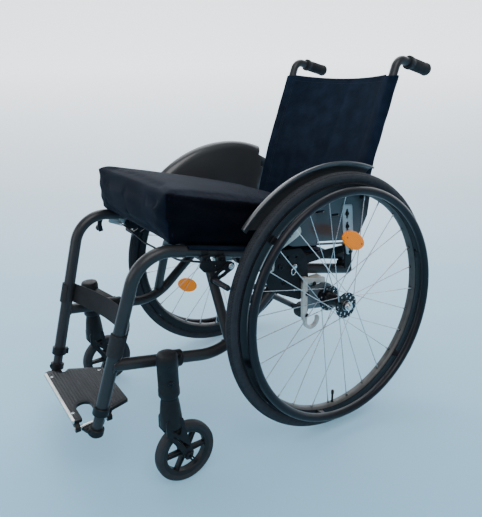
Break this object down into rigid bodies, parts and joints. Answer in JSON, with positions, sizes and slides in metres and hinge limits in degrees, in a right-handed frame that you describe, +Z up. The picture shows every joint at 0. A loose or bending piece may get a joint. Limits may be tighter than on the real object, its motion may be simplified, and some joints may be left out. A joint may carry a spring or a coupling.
{
  "type": "active wheelchair",
  "caption": "Manual wheelchair with rigid tube frame, spoked wheels and push-rims, swivelling casters, fold-down back, cushion, wheel lock and flip-up footplate",
  "frame": {"origin": "on the floor, in the middle of the length and width", "axes": "+X is the user's left, -Y is forward, +Z is up"},
  "size_m": [0.617, 0.9276, 0.8412],
  "materials": {
    "anthracite_tube": "dark metallic powder coat",
    "black_metal": "satin black coat",
    "raw_aluminium": "bare, brushed",
    "chrome": "polished",
    "tyre": "matt tread",
    "rim": "anodised grey",
    "hub": "black hub, steel spokes",
    "push_rim": "satin black",
    "grip_rubber": "matt",
    "black_plastic": "moulded",
    "guard_plastic": "fine grain",
    "navy_fabric": "woven upholstery",
    "cushion_fabric": "stretch cover over foam",
    "webbing": "webbing",
    "amber_lens": "prismatic lens"
  },
  "bodies": {
    "frame": {"front_tube_l": "anthracite_tube", "front_tube_r": "anthracite_tube", "seat_tube_l": "anthracite_tube", "seat_tube_r": "anthracite_tube", "lower_tube_l": "anthracite_tube", "lower_tube_r": "anthracite_tube", "footrest_tube_l": "black_metal", "footrest_tube_r": "black_metal", "gusset_l": "black_metal", "gusset_r": "black_metal", "side_guard_l": "guard_plastic", "side_guard_r": "guard_plastic", "guard_bracket_l": "raw_aluminium", "guard_bracket_r": "raw_aluminium", "axle_clamp_l": "raw_aluminium", "axle_clamp_r": "raw_aluminium", "axle_pin_l": "chrome", "axle_pin_r": "chrome", "caster_housing_l": "black_metal", "caster_housing_r": "black_metal", "lock_bracket_l": "black_metal", "lock_bracket_r": "black_metal", "cross_arch": "anthracite_tube", "axle_tube": "black_metal", "lever_plate": "raw_aluminium", "seat_sling": "navy_fabric", "cushion": "cushion_fabric", "calf_strap": "webbing", "brake_cable": "black_plastic"},
    "back": {"back_arm_l": "black_metal", "back_arm_r": "black_metal", "back_tube_l": "anthracite_tube", "back_tube_r": "anthracite_tube", "push_grip_l": "grip_rubber", "push_grip_r": "grip_rubber", "backrest": "navy_fabric"},
    "footrest_plate": {"footplate": "black_plastic"},
    "hand_lever": {"lock_lever": "black_metal"},
    "tip_arm": {"anti_tip_arm": "black_metal"},
    "tip_roller": {"anti_tip_wheel": "grip_rubber"},
    "wheel_l": {"tyre_l": "tyre", "rim_l": "rim", "hub_spokes_l": "hub", "push_rim_l": "push_rim", "reflector_l": "amber_lens"},
    "button_l": {"axle_button_l": "chrome"},
    "ring_l": {"ring_pin_l": "chrome"},
    "fork_l": {"caster_fork_l": "black_metal"},
    "caster_l": {"caster_wheel_l": "black_plastic"},
    "shoe_l": {"lock_arm_l": "black_metal"},
    "wheel_r": {"tyre_r": "tyre", "rim_r": "rim", "hub_spokes_r": "hub", "push_rim_r": "push_rim", "reflector_r": "amber_lens"},
    "button_r": {"axle_button_r": "chrome"},
    "ring_r": {"ring_pin_r": "chrome"},
    "fork_r": {"caster_fork_r": "black_metal"},
    "caster_r": {"caster_wheel_r": "black_plastic"},
    "shoe_r": {"lock_arm_r": "black_metal"}
  },
  "joints": [
    {"name": "back_fold", "type": "hinge", "parent": "frame", "child": "back", "pos_m": [0, -0.00383, 0.394], "axis": [1, 0, 0], "range_deg": [0, 90]},
    {"name": "footplate_flip", "type": "hinge", "parent": "frame", "child": "footrest_plate", "pos_m": [0.109, -0.42283, 0.122], "axis": [0, 1, 0], "range_deg": [0, 81]},
    {"name": "lock_lever_turn", "type": "hinge", "parent": "frame", "child": "hand_lever", "pos_m": [-0.206, -0.21783, 0.452], "axis": [1, 0, 0], "range_deg": [0, 40]},
    {"name": "lock_arm_turn_l", "type": "hinge", "parent": "frame", "child": "shoe_l", "pos_m": [0.199, -0.13483, 0.428], "axis": [1, 0, 0], "range_deg": [0, 11]},
    {"name": "wheel_spin_l", "type": "hinge", "parent": "frame", "child": "wheel_l", "pos_m": [0.255, 0.11717, 0.29982], "axis": [0.9994, 0, 0.0349], "continuous": true},
    {"name": "axle_button_press_l", "type": "slide", "parent": "frame", "child": "button_l", "axis": [-0.9994, 0, -0.0349], "range_m": [0, 0.004], "stiffness_N_per_m": 400, "springref_m": -0.002},
    {"name": "ring_pin_pull_l", "type": "slide", "parent": "frame", "child": "ring_l", "axis": [1, 0, 0], "range_m": [0, 0.007], "stiffness_N_per_m": 400, "springref_m": -0.003},
    {"name": "caster_swivel_l", "type": "hinge", "parent": "frame", "child": "fork_l", "pos_m": [0.229, -0.30283, 0.2], "axis": [0, 0, 1], "continuous": true},
    {"name": "caster_roll_l", "type": "hinge", "parent": "fork_l", "child": "caster_l", "pos_m": [0.229, -0.27683, 0.0645], "axis": [1, 0, 0], "continuous": true},
    {"name": "lock_arm_turn_r", "type": "hinge", "parent": "frame", "child": "shoe_r", "pos_m": [-0.199, -0.13483, 0.428], "axis": [1, 0, 0], "range_deg": [0, 11]},
    {"name": "wheel_spin_r", "type": "hinge", "parent": "frame", "child": "wheel_r", "pos_m": [-0.255, 0.11717, 0.29982], "axis": [-0.9994, 0, 0.0349], "continuous": true},
    {"name": "axle_button_press_r", "type": "slide", "parent": "frame", "child": "button_r", "axis": [0.9994, 0, -0.0349], "range_m": [0, 0.004], "stiffness_N_per_m": 400, "springref_m": -0.002},
    {"name": "ring_pin_pull_r", "type": "slide", "parent": "frame", "child": "ring_r", "axis": [-1, 0, 0], "range_m": [0, 0.007], "stiffness_N_per_m": 400, "springref_m": -0.003},
    {"name": "caster_swivel_r", "type": "hinge", "parent": "frame", "child": "fork_r", "pos_m": [-0.229, -0.30283, 0.2], "axis": [0, 0, 1], "continuous": true},
    {"name": "caster_roll_r", "type": "hinge", "parent": "fork_r", "child": "caster_r", "pos_m": [-0.229, -0.27683, 0.0645], "axis": [1, 0, 0], "continuous": true},
    {"name": "anti_tip_swing", "type": "hinge", "parent": "frame", "child": "tip_arm", "pos_m": [-0.15, 0.11717, 0.29982], "axis": [1, 0, 0], "range_deg": [0, 45]},
    {"name": "anti_tip_roll", "type": "hinge", "parent": "tip_arm", "child": "tip_roller", "pos_m": [-0.15, 0.34217, 0.067], "axis": [1, 0, 0], "continuous": true}
  ],
  "couplings": [
    {"joint": "lock_arm_turn_l", "follows": "lock_lever_turn", "ratio": 0.275},
    {"joint": "lock_arm_turn_r", "follows": "lock_lever_turn", "ratio": 0.275}
  ]
}
